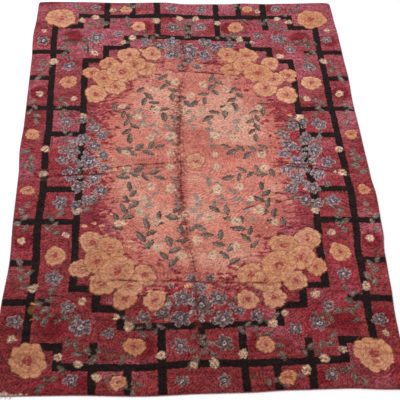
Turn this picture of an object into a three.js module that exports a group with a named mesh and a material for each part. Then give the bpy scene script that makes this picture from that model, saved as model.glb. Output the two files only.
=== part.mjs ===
// A worn art deco pile rug that lies flat, in millimetres, with +Z up and its length along Y.
// It is one knotted cloth: the woven back lies on the floor and the pile is on top.
// It was kept folded, so low ridges cross it where it was creased, with a hollow under each.

import * as THREE from 'three';

// Sizes of the cloth before its edges wander.
const HALF_WIDTH = 1000;
const HALF_LENGTH = 1450;
const THICKNESS = 12;
const CORNER_RADIUS = 24;

// The pile rolls down at the rim.
const RIM_THICKNESS = 5;
const RIM_ROLL = 14;
const RIM_LINES = [0, 6, RIM_ROLL];

// A fold rises from nothing over this length at each end.
const FOLD_FADE = 110;

// How far each edge wanders outwards (out) at places along it (at).
const LEFT_EDGE = [
  { at: -1450, out: 4 },
  { at: -1000, out: 6 },
  { at: -680, out: -11 },
  { at: -400, out: -4 },
  { at: -100, out: -4 },
  { at: 100, out: 6 },
  { at: 300, out: -1 },
  { at: 850, out: 0 },
  { at: 1100, out: 9 },
  { at: 1300, out: -2 },
  { at: 1450, out: -4 },
];
const RIGHT_EDGE = [
  { at: -1450, out: -4 },
  { at: -1050, out: -7 },
  { at: -850, out: 3 },
  { at: -650, out: 8 },
  { at: -500, out: 24 },
  { at: -250, out: 31 },
  { at: -100, out: 21 },
  { at: 200, out: 16 },
  { at: 500, out: 9 },
  { at: 700, out: 15 },
  { at: 900, out: 9 },
  { at: 1100, out: 6 },
  { at: 1300, out: -3 },
  { at: 1450, out: -8 },
];
const TOP_EDGE = [
  { at: -1000, out: -6 },
  { at: -900, out: -1 },
  { at: -700, out: -1 },
  { at: -450, out: -6 },
  { at: -150, out: 3 },
  { at: 0, out: -13 },
  { at: 250, out: -10 },
  { at: 400, out: 1 },
  { at: 550, out: -3 },
  { at: 700, out: 4 },
  { at: 950, out: 15 },
  { at: 1000, out: 12 },
];
const BOTTOM_EDGE = [
  { at: -1000, out: 4 },
  { at: -650, out: 5 },
  { at: -280, out: 16 },
  { at: 0, out: 8 },
  { at: 200, out: 6 },
  { at: 420, out: -3 },
  { at: 700, out: -7 },
  { at: 900, out: 2 },
  { at: 1000, out: 4 },
];

// Where the long creases run. Each path gives its place across (to) at places along it (at).
const LENGTHWISE_CREASE = [
  { at: -1250, to: -42 },
  { at: -1070, to: -18 },
  { at: -800, to: -22 },
  { at: -430, to: -64 },
  { at: -185, to: -78 },
  { at: 460, to: -72 },
  { at: 790, to: -35 },
  { at: 1020, to: -42 },
];
const TOP_CREASE = [
  { at: -150, to: 775 },
  { at: 50, to: 758 },
  { at: 330, to: 728 },
];
const MIDDLE_CREASE = [
  { at: -900, to: -88 },
  { at: -560, to: -68 },
  { at: -300, to: -30 },
  { at: -60, to: -8 },
  { at: 450, to: -18 },
  { at: 635, to: -36 },
  { at: 810, to: -71 },
  { at: 950, to: -79 },
];
const LOWER_CREASE = [
  { at: -480, to: -813 },
  { at: -190, to: -820 },
  { at: 165, to: -840 },
  { at: 430, to: -846 },
];

// The folds. One that runs in y follows its path along the rug, one that runs in x across it.
const FOLDS = [
  // The lengthwise one, down the middle.
  { path: LENGTHWISE_CREASE, runs: 'y', start: -1250, end: 1110, height: 6, spread: 34 },
  // The short one near the top.
  { path: TOP_CREASE, runs: 'x', start: -150, end: 330, height: 4, spread: 34 },
  // The one across the middle, in two lengths with flat cloth between them.
  { path: MIDDLE_CREASE, runs: 'x', start: -940, end: -90, height: 8, spread: 40 },
  { path: MIDDLE_CREASE, runs: 'x', start: 420, end: 960, height: 6, spread: 34 },
  // The lower one.
  { path: LOWER_CREASE, runs: 'x', start: -480, end: 430, height: 4, spread: 34 },
];

// Short wrinkles, each straight between two points: to the right, to the left and at the top left.
const WRINKLES = [
  { from: [170, -395], to: [450, -272], height: 5, spread: 34 },
  { from: [-480, -300], to: [-260, -290], height: 3, spread: 34 },
  { from: [-648, 890], to: [-648, 1060], height: 3, spread: 34 },
];

// Lines of the cloth's mesh: beside a fold they lie at these offsets from its crest.
const FOLD_LINES = [-45, -26, -12, 0, 12, 26, 45];

// How far from a crease the mesh lines still run fully along it, and where they stop bending to it.
const COLUMN_BEND = { full: 60, none: 500 };
const ROW_BEND = { full: 50, none: 95 };

// The mesh lines away from the folds. A short wrinkle has lines of its own among them.
const COLUMNS_LEFT = [-870, -740, -690, -648, -606, -480, -370, -280, -170];
const COLUMNS_RIGHT = [80, 150, 205, 260, 315, 370, 425, 480, 600, 700, 820, 950];
const ROWS_BELOW_LOWER = [-1300, -1160, -1030, -930];
const ROWS_LOWER_TO_MIDDLE = [-720, -610, -500, -440, -410, -380, -350, -320, -290, -250, -180];
const ROWS_MIDDLE_TO_TOP = [90, 200, 340, 500, 640];
const ROWS_ABOVE_TOP = [880, 920, 975, 1030, 1100, 1200, 1310];

// Reads a table of places along an edge or crease, with smooth steps between them.
function readTable(table, column, at) {
  let next = 1;
  while (next < table.length - 1 && table[next].at < at) {
    next += 1;
  }
  const before = table[next - 1];
  const after = table[next];
  const share = THREE.MathUtils.smoothstep(at, before.at, after.at);
  return THREE.MathUtils.lerp(before[column], after[column], share);
}

// How high the cloth is lifted at a distance from a fold's crest.
function ridge(height, spread, distance) {
  return height * (1 - THREE.MathUtils.smoothstep(Math.abs(distance), 0, spread));
}

// How much of a fold's height is left at a place between its two ends.
function endFade(at, start, end) {
  const rise = THREE.MathUtils.smoothstep(at, start, start + FOLD_FADE);
  const fall = THREE.MathUtils.smoothstep(at, end - FOLD_FADE, end);
  return rise * (1 - fall);
}

function foldLift(fold, x, y) {
  const at = fold.runs === 'y' ? y : x;
  const across = fold.runs === 'y' ? x : y;
  const distance = across - readTable(fold.path, 'to', at);
  return ridge(fold.height, fold.spread, distance) * endFade(at, fold.start, fold.end);
}

function wrinkleLift(wrinkle, x, y) {
  const run = new THREE.Vector2(wrinkle.to[0] - wrinkle.from[0], wrinkle.to[1] - wrinkle.from[1]);
  const length = run.length();
  run.normalize();
  const offset = new THREE.Vector2(x - wrinkle.from[0], y - wrinkle.from[1]);
  const at = offset.dot(run);
  const distance = offset.cross(run);
  const rise = Math.sin(Math.PI * THREE.MathUtils.clamp(at / length, 0, 1));
  return ridge(wrinkle.height, wrinkle.spread, distance) * rise;
}

// How far the cloth is lifted off the floor. Crossing folds round into each other.
function lift(x, y) {
  let squares = 0;
  for (const fold of FOLDS) {
    squares += foldLift(fold, x, y) ** 2;
  }
  for (const wrinkle of WRINKLES) {
    squares += wrinkleLift(wrinkle, x, y) ** 2;
  }
  return Math.sqrt(squares);
}

// How thick the cloth is: full inside, rolling down over the rim.
function thickness(x, y) {
  const inside = Math.min(HALF_WIDTH - Math.abs(x), HALF_LENGTH - Math.abs(y));
  const slope = 1 - THREE.MathUtils.clamp(inside / RIM_ROLL, 0, 1);
  const roll = Math.sqrt(1 - slope * slope);
  return RIM_THICKNESS + (THICKNESS - RIM_THICKNESS) * roll;
}

// Moves a point of the plain rectangle onto the cloth, with its rounded corners and wandering edges.
function placeOnCloth(x, y) {
  const cornerX = Math.max(Math.abs(x) - HALF_WIDTH + CORNER_RADIUS, 0) / CORNER_RADIUS;
  const cornerY = Math.max(Math.abs(y) - HALF_LENGTH + CORNER_RADIUS, 0) / CORNER_RADIUS;
  const pullX = CORNER_RADIUS * cornerX * (1 - Math.sqrt(1 - cornerY * cornerY / 2));
  const pullY = CORNER_RADIUS * cornerY * (1 - Math.sqrt(1 - cornerX * cornerX / 2));
  const roundX = x - Math.sign(x) * pullX;
  const roundY = y - Math.sign(y) * pullY;
  const sideOut = readTable(x < 0 ? LEFT_EDGE : RIGHT_EDGE, 'out', y);
  const endOut = readTable(y < 0 ? BOTTOM_EDGE : TOP_EDGE, 'out', x);
  return [
    roundX + sideOut * x / HALF_WIDTH,
    roundY + endOut * y / HALF_LENGTH,
  ];
}

// How fully a mesh line follows a crease at a distance from it.
function following(distance, bend) {
  return 1 - THREE.MathUtils.smoothstep(Math.abs(distance), bend.full, bend.none);
}

function rimLines(half) {
  return RIM_LINES.map((inset) => half - inset);
}

function columnLines() {
  const rim = rimLines(HALF_WIDTH);
  const crease = FOLD_LINES.map((offset) => readTable(LENGTHWISE_CREASE, 'to', 0) + offset);
  return [...rim.map((x) => -x), ...COLUMNS_LEFT, ...crease, ...COLUMNS_RIGHT, ...rim.reverse()];
}

function rowLines() {
  const rim = rimLines(HALF_LENGTH);
  const beside = (path) => FOLD_LINES.map((offset) => readTable(path, 'to', 0) + offset);
  return [
    ...rim.map((y) => -y),
    ...ROWS_BELOW_LOWER,
    ...beside(LOWER_CREASE),
    ...ROWS_LOWER_TO_MIDDLE,
    ...beside(MIDDLE_CREASE),
    ...ROWS_MIDDLE_TO_TOP,
    ...beside(TOP_CREASE),
    ...ROWS_ABOVE_TOP,
    ...rim.reverse(),
  ];
}

// Bends a crossing of two mesh lines so that lines beside a crease run along it.
function bendToCreases(column, row) {
  const middle = readTable(LENGTHWISE_CREASE, 'to', 0);
  const sway = readTable(LENGTHWISE_CREASE, 'to', row) - middle;
  const x = column + sway * following(column - middle, COLUMN_BEND);
  let y = row;
  for (const path of [TOP_CREASE, MIDDLE_CREASE, LOWER_CREASE]) {
    const level = readTable(path, 'to', 0);
    const rise = readTable(path, 'to', column) - level;
    y += rise * following(row - level, ROW_BEND);
  }
  return [x, y];
}

// The cloth as one closed solid: a top and an underside on the same lines, joined round the rim.
function rugGeometry() {
  const columns = columnLines();
  const rows = rowLines();
  const positions = [];
  const triangles = [];
  const perLayer = columns.length * rows.length;

  for (const layer of ['top', 'underside']) {
    for (const row of rows) {
      for (const column of columns) {
        const [x, y] = bendToCreases(column, row);
        const raised = layer === 'top' ? thickness(x, y) : 0;
        positions.push(...placeOnCloth(x, y), lift(x, y) + raised);
      }
    }
  }

  const addQuad = (a, b, c, d) => {
    triangles.push(a, b, c, a, c, d);
  };
  const index = (column, row) => row * columns.length + column;
  const lastColumn = columns.length - 1;
  const lastRow = rows.length - 1;
  for (let row = 0; row < lastRow; row += 1) {
    for (let column = 0; column < lastColumn; column += 1) {
      const corner = index(column, row);
      const right = corner + 1;
      const above = corner + columns.length;
      addQuad(corner, right, above + 1, above);
      addQuad(corner + perLayer, above + perLayer, above + 1 + perLayer, right + perLayer);
    }
  }
  const addWall = (from, to) => {
    addQuad(from + perLayer, to + perLayer, to, from);
  };
  for (let column = 0; column < lastColumn; column += 1) {
    addWall(index(column, 0), index(column + 1, 0));
    addWall(index(column + 1, lastRow), index(column, lastRow));
  }
  for (let row = 0; row < lastRow; row += 1) {
    addWall(index(lastColumn, row), index(lastColumn, row + 1));
    addWall(index(0, row + 1), index(0, row));
  }

  const geometry = new THREE.BufferGeometry();
  geometry.setAttribute('position', new THREE.Float32BufferAttribute(positions, 3));
  geometry.setIndex(triangles);
  centreOverOrigin(geometry);
  geometry.computeVertexNormals();
  return geometry;
}

// Puts the middle of the box that holds the cloth over the origin.
function centreOverOrigin(geometry) {
  geometry.computeBoundingBox();
  const centre = geometry.boundingBox.getCenter(new THREE.Vector3());
  geometry.translate(-centre.x, -centre.y, 0);
}

const pile = new THREE.MeshStandardMaterial({ color: 0x8c4a48, roughness: 0.95, metalness: 0 });

const rug = new THREE.Mesh(rugGeometry(), pile);
rug.name = 'rug';

const group = new THREE.Group();
group.add(rug);

export default group;
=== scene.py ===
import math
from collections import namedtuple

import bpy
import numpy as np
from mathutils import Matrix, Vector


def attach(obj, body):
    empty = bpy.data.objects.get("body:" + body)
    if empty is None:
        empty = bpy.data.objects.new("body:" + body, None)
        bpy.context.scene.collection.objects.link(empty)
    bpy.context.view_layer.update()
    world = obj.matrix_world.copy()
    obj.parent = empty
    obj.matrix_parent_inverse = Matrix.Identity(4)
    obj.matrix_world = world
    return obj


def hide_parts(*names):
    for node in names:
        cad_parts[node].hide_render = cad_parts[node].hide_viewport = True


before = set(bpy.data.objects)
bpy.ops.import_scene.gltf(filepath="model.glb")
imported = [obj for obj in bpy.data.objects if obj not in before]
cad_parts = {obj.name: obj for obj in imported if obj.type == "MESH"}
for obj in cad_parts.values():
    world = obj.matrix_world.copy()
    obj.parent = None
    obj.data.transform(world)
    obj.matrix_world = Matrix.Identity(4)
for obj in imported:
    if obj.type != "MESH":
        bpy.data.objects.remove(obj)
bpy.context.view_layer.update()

# A worn art deco pile rug, lying flat on a pale floor.
# The woven foundation and the pile are separate pieces, as they are in the real cloth.
# The pile is a fine mesh with one point for each knot, and each knot has its own colour.
# The design is a generic one of flowers, leaves and stepped black lines.
# Tables of the cloth and its design, and the cells of noises, are in millimetres, all else in metres.
# Other bare numbers in the functions are shares: of a motif's radius, a colour or a noise's range.

MM = 0.001
TURN = 2 * math.pi

# The cloth, as its CAD solid has it.
HALF_WIDTH = 1000 * MM
HALF_LENGTH = 1450 * MM
THICKNESS = 12 * MM
CORNER_RADIUS = 24 * MM
RIM_THICKNESS = 5 * MM
RIM_ROLL = 14 * MM
FOLD_FADE = 110 * MM

# How far each edge wanders: place along the edge and distance outwards.
LEFT_EDGE = [
    (-1450, 4), (-1000, 6), (-680, -11), (-400, -4), (-100, -4), (100, 6),
    (300, -1), (850, 0), (1100, 9), (1300, -2), (1450, -4),
]
RIGHT_EDGE = [
    (-1450, -4), (-1050, -7), (-850, 3), (-650, 8), (-500, 24), (-250, 31),
    (-100, 21), (200, 16), (500, 9), (700, 15), (900, 9), (1100, 6), (1300, -3), (1450, -8),
]
TOP_EDGE = [
    (-1000, -6), (-900, -1), (-700, -1), (-450, -6), (-150, 3), (0, -13),
    (250, -10), (400, 1), (550, -3), (700, 4), (950, 15), (1000, 12),
]
BOTTOM_EDGE = [
    (-1000, 4), (-650, 5), (-280, 16), (0, 8), (200, 6), (420, -3),
    (700, -7), (900, 2), (1000, 4),
]

# Where the long creases run: the axis, then places along the crease and across it.
Crease = namedtuple("Crease", "runs path")
LENGTHWISE = Crease("y", [
    (-1250, -42), (-1070, -18), (-800, -22), (-430, -64), (-185, -78),
    (460, -72), (790, -35), (1020, -42),
])
UPPER = Crease("x", [(-150, 775), (50, 758), (330, 728)])
MIDDLE = Crease("x", [
    (-900, -88), (-560, -68), (-300, -30), (-60, -8), (450, -18),
    (635, -36), (810, -71), (950, -79),
])
LOWER = Crease("x", [(-480, -813), (-190, -820), (165, -840), (430, -846)])

# Each fold follows a crease from start to end.
Fold = namedtuple("Fold", "crease start end height spread")
FOLDS = [
    Fold(LENGTHWISE, -1250, 1110, 6, 34),
    Fold(UPPER, -150, 330, 4, 34),
    Fold(MIDDLE, -940, -90, 8, 40),
    Fold(MIDDLE, 420, 960, 6, 34),
    Fold(LOWER, -480, 430, 4, 34),
]
# Short straight wrinkles.
Wrinkle = namedtuple("Wrinkle", "start end height spread")
WRINKLES = [
    Wrinkle((170, -395), (450, -272), 5, 34),
    Wrinkle((-480, -300), (-260, -290), 3, 34),
    Wrinkle((-648, 890), (-648, 1060), 3, 34),
]

# The knots: columns and rows of the pile, and the strips that its mesh is made in.
STRIPS = 5
COLUMNS_PER_STRIP = 108
KNOT_COLUMNS = STRIPS * COLUMNS_PER_STRIP
KNOT_ROWS = 768
# The hidden side of a slab keeps only one grid line in so many.
PILE_STEP = 6
FOUNDATION_STEP = 2
# How much tufts differ in height, tone and painted shade, from 0 for not at all.
BORDER_SHAG = 1.4
MEDALLION_SHAG = 0.82
BLOOM_SHAG = 0.58

# Heights from the cloth's underside, and how far a knot's tip may be astray.
PILE_ROOT = 1.4 * MM
FOUNDATION_THICKNESS = 3 * MM
BARE_HEIGHT = 3.8 * MM
ASTRAY = (0.45 * MM, 0.45 * MM, 0.28 * MM)

# The foundation's grid, with closer lines at these distances from its rim.
FOUNDATION_COLUMNS = 120
FOUNDATION_ROWS = 180
RIM_LINES = np.array([0, 2, 5, 9, 14, 20]) * MM

# The edges: how far the pile stays off them, and the yarn that is wrapped round them.
SIDE_CORD_WIDTH = 4 * MM
END_WEAVE_WIDTH = 5 * MM
SIDE_CORD_RADIUS = 2.7 * MM
END_CORD_RADIUS = 2.2 * MM
WRAP_LENGTH = 8 * MM
POINTS_PER_WRAP = 3
TUBE_SIDES = 6


def dye(code):
    """A colour as the eye sees it, in six hex digits, turned into the linear one of the shaders."""
    seen = np.array([int(code[i:i + 2], 16) for i in (0, 2, 4)]) / 255
    return np.where(seen <= 0.04045, seen / 12.92, ((seen + 0.055) / 1.055) ** 2.4)


DEEP_CRIMSON = dye("681f26")
DEEP_RED = dye("741c26")
CRIMSON = dye("873539")
ROSE = dye("a15661")
BRICK = dye("93303a")
SALMON = dye("be7767")
PALE_SALMON = dye("c78f7c")
CORAL = dye("ad6055")
GOLD = dye("be825c")
PALE_GOLD = dye("cb9777")
OCHRE = dye("a8724a")
RUST = dye("80453a")
SLATE = dye("66545b")
LILAC = dye("8b7a84")
PALE_LILAC = dye("b4a4a4")
PLUM = dye("3f3034")
LEAF = dye("5c4c42")
DARK_LEAF = dye("30241e")
PALE_LEAF = dye("928071")
OLIVE = dye("705c44")
CREAM = dye("cda98f")
SAGE = dye("a68f76")
BLACK = dye("180d0e")
CREASE_RED = dye("732a25")
COTTON = dye("cdb9a0")
STAIN_YELLOW = dye("d9a23c")


# Shape of the cloth

def smooth(low, high, value):
    """0 below low, 1 above high, with a soft step between them."""
    share = np.clip((value - low) / (high - low), 0, 1)
    return share * share * (3 - 2 * share)


def read_table(table, at):
    """Reads a table of millimetres at places in metres, with soft steps between its rows."""
    places, values = np.array(table, dtype=float).T * MM
    at = np.clip(at, places[0], places[-1])
    row = np.clip(np.searchsorted(places, at, side="right") - 1, 0, len(places) - 2)
    share = smooth(0, 1, (at - places[row]) / (places[row + 1] - places[row]))
    return values[row] + (values[row + 1] - values[row]) * share


def furthest_out(table):
    return max(out for _, out in table) * MM


def from_crest(fold, x, y):
    """Distance from a fold's crest and how much of the fold is left there, from 0 to 1."""
    at, across = (y, x) if fold.crease.runs == "y" else (x, y)
    start, end = fold.start * MM, fold.end * MM
    rise = smooth(start, start + FOLD_FADE, at)
    fall = smooth(end - FOLD_FADE, end, at)
    return across - read_table(fold.crease.path, at), rise * (1 - fall)


def from_wrinkle(wrinkle, x, y):
    """Distance from a wrinkle's line and how much of the wrinkle is left there, from 0 to 1."""
    start = np.array(wrinkle.start) * MM
    run = np.array(wrinkle.end) * MM - start
    length = np.hypot(*run)
    run = run / length
    at = (x - start[0]) * run[0] + (y - start[1]) * run[1]
    across = (x - start[0]) * run[1] - (y - start[1]) * run[0]
    return across, np.sin(math.pi * np.clip(at / length, 0, 1))


def ridge(shape, distance, left):
    spread = shape.spread * MM
    return shape.height * MM * (1 - smooth(0, spread, np.abs(distance))) * left


def lift(x, y):
    """How far the cloth is lifted off the floor by its folds and wrinkles."""
    squares = np.zeros_like(x)
    for fold in FOLDS:
        squares += ridge(fold, *from_crest(fold, x, y)) ** 2
    for wrinkle in WRINKLES:
        squares += ridge(wrinkle, *from_wrinkle(wrinkle, x, y)) ** 2
    return np.sqrt(squares)


def place_on_cloth(x, y):
    """Moves points of the plain rectangle onto the cloth, with its round corners and uneven edges."""
    corner_x = np.maximum(np.abs(x) - HALF_WIDTH + CORNER_RADIUS, 0) / CORNER_RADIUS
    corner_y = np.maximum(np.abs(y) - HALF_LENGTH + CORNER_RADIUS, 0) / CORNER_RADIUS
    pull_x = CORNER_RADIUS * corner_x * (1 - np.sqrt(1 - corner_y ** 2 / 2))
    pull_y = CORNER_RADIUS * corner_y * (1 - np.sqrt(1 - corner_x ** 2 / 2))
    side_out = np.where(x < 0, read_table(LEFT_EDGE, y), read_table(RIGHT_EDGE, y))
    end_out = np.where(y < 0, read_table(BOTTOM_EDGE, x), read_table(TOP_EDGE, x))
    centre_x = (furthest_out(RIGHT_EDGE) - furthest_out(LEFT_EDGE)) / 2
    centre_y = (furthest_out(TOP_EDGE) - furthest_out(BOTTOM_EDGE)) / 2
    return (
        x - np.sign(x) * pull_x + side_out * x / HALF_WIDTH - centre_x,
        y - np.sign(y) * pull_y + end_out * y / HALF_LENGTH - centre_y,
    )


# Noise, for dye, wear and unevenness

def noise(x, y, cell_x, cell_y, seed):
    """Smooth noise from 0 to 1 at points of the rug, with blots of about one cell."""
    cell_x, cell_y = cell_x * MM, cell_y * MM
    u = (x + 1.2 * HALF_WIDTH) / cell_x
    v = (y + 1.2 * HALF_LENGTH) / cell_y
    shape = (int(2.4 * HALF_LENGTH / cell_y) + 2, int(2.4 * HALF_WIDTH / cell_x) + 2)
    lattice = np.random.default_rng(seed).random(shape)
    column, row = np.floor(u).astype(int), np.floor(v).astype(int)
    du, dv = smooth(0, 1, u - column), smooth(0, 1, v - row)
    low = lattice[row, column] * (1 - du) + lattice[row, column + 1] * du
    high = lattice[row + 1, column] * (1 - du) + lattice[row + 1, column + 1] * du
    return low * (1 - dv) + high * dv


def mix(a, b, share):
    share = np.asarray(share)[..., None]
    return a * (1 - share) + b * share


# The pile as a canvas of knots

class Pile:
    """The knots: where they are, their colours, how deep the pile is clipped and how shaggy it is."""

    def __init__(self):
        self.line_x = np.linspace(-HALF_WIDTH, HALF_WIDTH, KNOT_COLUMNS + 1)
        self.line_y = np.linspace(-HALF_LENGTH, HALF_LENGTH, KNOT_ROWS + 1)
        self.x, self.y = np.meshgrid(self.line_x, self.line_y)
        self.colour = np.zeros(self.x.shape + (3,))
        self.clip = np.zeros(self.x.shape)
        self.shag = np.full(self.x.shape, BORDER_SHAG)
        # Where the weaver put each knot by the drawing's reckoning: off by a few millimetres.
        self.drawn_x = self.x + self.slip(1)
        self.drawn_y = self.y + self.slip(5)

    def noise(self, cell_x, cell_y, seed):
        return noise(self.x, self.y, cell_x, cell_y, seed)

    def cloudy(self, cell, seed):
        """Three layers of noise, each half the size and strength of the last, from 0 to 1."""
        layers = [self.noise(cell / 2 ** n, cell / 2 ** n, seed + n) / 2 ** n for n in range(3)]
        return sum(layers) / (1 + 1 / 2 + 1 / 4)

    def slip(self, seed):
        broad, fine = self.noise(34, 34, seed), self.noise(9, 6, seed + 1)
        return (broad - 0.5) * 9 * MM + (fine - 0.5) * 7 * MM

    def near(self, x, y, reach):
        """The window of knots round a point, and each one's offset from it."""
        columns = slice(*np.searchsorted(self.line_x, [x - reach, x + reach]))
        rows = slice(*np.searchsorted(self.line_y, [y - reach, y + reach]))
        window = (rows, columns)
        return window, self.drawn_x[window] - x, self.drawn_y[window] - y

    def knot(self, window, where, colour, strength=1.0):
        """Knots a colour in where a mask of the window says, fully or partly."""
        self.colour[window] = mix(self.colour[window], colour, np.where(where, strength, 0.0))

    def carve(self, window, where, depth):
        self.clip[window] = np.where(where, np.maximum(self.clip[window], depth), self.clip[window])


# Motifs. Places are for the quarter with x and y above 0.

Spot = namedtuple("Spot", "x y radius")
Sprig = namedtuple("Sprig", "x y to_x to_y bend leaves leaf faded")
Patch = namedtuple("Patch", "x y spread_x spread_y buds")

BAR_WIDTH = 41 * MM
OUTLINE = 5 * MM
PETAL_LINE = 4.4 * MM
LEAF_RIB = 1.9 * MM
STEM_RADIUS = 3 * MM
STEM_POINTS = 60
BLOOM_RINGS = (1.0, 0.68, 0.40)
SHADOW_LEAVES = 230
NOISE_SEEDS = 999


def rows_of(kind, *rows):
    return [kind(*row) for row in rows]


# The black lines, as paths through their corners.
BLACK_LINES = [
    # The outer line, with a notch at the corner.
    [(0, 1305), (700, 1305), (700, 1195), (860, 1195), (860, 0)],
    # The inner line, with steps at the corner.
    [(0, 1085), (400, 1085), (400, 985), (530, 985), (530, 865), (655, 865), (655, 0)],
    # Rungs between the lines, and from the outer line to the edge.
    [(200, 1085), (200, 1450)],
    [(530, 1195), (530, 1450)],
    [(360, 1305), (360, 1450)],
    [(0, 1085), (0, 1200)],
    [(655, 430), (1000, 430)],
    [(655, 210), (860, 210)],
    [(860, 700), (1000, 700)],
    [(780, 945), (1000, 945)],
]

BLOOMS = rows_of(
    Spot,
    (250, 930, 64), (620, 740, 60), (590, 570, 78), (280, 780, 72), (390, 920, 72),
    (510, 840, 66), (470, 610, 70), (540, 690, 70), (350, 830, 70), (430, 755, 96),
    (320, 1200, 50), (765, 660, 60), (850, 1270, 92), (935, 220, 40), (410, 1390, 40), (0, 0, 60),
)
BLUE_FLOWERS = rows_of(
    Spot,
    (700, 85, 50), (575, 125, 46), (660, 185, 44), (770, 0, 44), (530, 205, 36), (600, 275, 36),
    (520, 55, 36), (670, 315, 32), (600, 0, 60), (95, 925, 46), (100, 1045, 50), (190, 1005, 42),
    (0, 865, 42), (280, 1035, 36), (50, 810, 30), (0, 975, 60), (100, 1200, 48), (600, 1090, 54),
    (760, 800, 44), (760, 300, 46), (930, 1060, 42), (620, 1385, 40), (100, 1385, 38),
    (660, 980, 36), (460, 1120, 34),
)
SPRIGS = rows_of(
    Sprig,
    # The middle: long sprays that lean in from the clusters, and faded ones between them.
    (290, 660, 130, 370, 0.18, 8, 76, 0.0), (500, 500, 370, 220, -0.16, 8, 76, 0.0),
    (140, 780, 45, 500, 0.2, 7, 72, 0.1), (480, 140, 220, 110, 0.16, 7, 74, 0.1),
    (50, 90, 110, 290, -0.2, 5, 66, 0.6), (270, 480, 230, 250, 0.2, 5, 60, 0.8),
    (0, 460, 0, 300, 0.0, 4, 62, 0.8),
    # The border.
    (240, 1140, 380, 1240, -0.2, 5, 62, 0.2), (450, 1220, 640, 1190, 0.2, 6, 60, 0.2),
    (760, 1120, 770, 900, 0.15, 6, 62, 0.2), (760, 560, 760, 360, 0.15, 6, 60, 0.2),
    (930, 900, 940, 720, -0.15, 5, 58, 0.3), (930, 140, 940, 0, 0.1, 3, 60, 0.3),
    (270, 1375, 440, 1390, 0.2, 5, 54, 0.3), (620, 1360, 760, 1400, -0.2, 4, 58, 0.2),
    (640, 390, 520, 240, 0.1, 6, 50, 0.3), (720, 0, 750, 220, 0.1, 6, 50, 0.3),
    (40, 900, 250, 920, 0.2, 6, 50, 0.2), (140, 1100, 360, 1050, 0.1, 6, 52, 0.2),
    (20, 1100, 50, 1280, 0.1, 5, 56, 0.3), (560, 1000, 730, 1030, 0.2, 5, 56, 0.2),
    (930, 540, 940, 340, 0.15, 5, 56, 0.4),
)
CREAM_FLOWERS = rows_of(
    Spot,
    (215, 430, 33), (330, 360, 30), (135, 205, 36), (245, 185, 28), (390, 60, 30), (65, 400, 30),
    (80, 660, 32), (220, 600, 28), (290, 280, 24), (420, 440, 26), (0, 560, 30), (130, 50, 26),
    (655, 365, 28), (360, 1085, 26), (600, 930, 24), (700, 1255, 24), (930, 560, 26),
    (720, 520, 22), (200, 1250, 26), (500, 1360, 24), (865, 860, 28), (940, 1150, 22),
    (610, 1290, 24), (855, 100, 26), (50, 1300, 24), (430, 1030, 20),
)

# Round places in the ground where the dye is deepest.
DEEP_PATCHES = rows_of(
    Spot,
    (745, 1075, 78), (930, 1050, 60), (935, 565, 60), (285, 1195, 62), (580, 1395, 45),
    (560, 720, 60),
)
# Where small buds are scattered.
BUD_PATCHES = [
    Patch(640, 0, 100, 200, 34),
    Patch(0, 980, 170, 90, 26),
]

QUARTERS = [(1, 1), (-1, 1), (1, -1), (-1, -1)]


def quarters(item):
    """The signs of x and y for each copy of a motif, fewer for one that lies on a middle line."""
    return [
        (side, end) for side, end in QUARTERS
        if (item.x != 0 or side > 0) and (item.y != 0 or end > 0)
    ]


def copies(table):
    """Every copy of the spots in a table, in metres."""
    for spot in table:
        for side, end in quarters(spot):
            yield Spot(side * spot.x * MM, end * spot.y * MM, spot.radius * MM)


def by_hand(table, rng):
    """Every copy of the spots, each a little out of place and size, as hand work is."""
    for spot in copies(table):
        shift = rng.normal(0, 7 * MM, 2)
        yield Spot(spot.x + shift[0], spot.y + shift[1], spot.radius * rng.uniform(0.9, 1.1))


def around(pile, spot, spread, rng):
    """The window of knots round a spot: each one's angle, from a random start, distance and offset."""
    window, dx, dy = pile.near(spot.x, spot.y, spread * spot.radius)
    return window, np.arctan2(dy, dx) + rng.uniform(0, TURN), np.hypot(dx, dy), dx, dy


def lobes(angle, count):
    """1 in the middle of each of count petals, falling to 0 in the gaps between them."""
    return np.abs(np.cos(count * angle / 2))


def uneven(angle, rng, size):
    """1, more or less by about size, changing smoothly round a circle."""
    total = np.ones_like(angle)
    for waves in (2, 3, 5):
        total += size / waves * np.cos(waves * angle + rng.uniform(0, TURN))
    return total


def knot_bars(pile):
    """Straight black bars with slightly wavy edges."""
    x, y = pile.x, pile.y
    sway = (pile.noise(400, 400, seed=12) - 0.5) * 16 * MM
    black = mix(BLACK, DARK_LEAF, 0.35 * pile.noise(60, 18, seed=13))
    where = np.zeros(x.shape, dtype=bool)
    out_x = np.abs((x + pile.drawn_x) / 2 + sway)
    out_y = np.abs((y + pile.drawn_y) / 2 + sway)
    for line in BLACK_LINES:
        for start, end in zip(line, line[1:]):
            low_x, low_y = np.minimum(start, end) * MM
            high_x, high_y = np.maximum(start, end) * MM
            beyond_x = np.maximum(low_x - out_x, out_x - high_x)
            beyond_y = np.maximum(low_y - out_y, out_y - high_y)
            where |= np.maximum(beyond_x, beyond_y) < BAR_WIDTH / 2
    pile.colour[where] = black[where]


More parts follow.
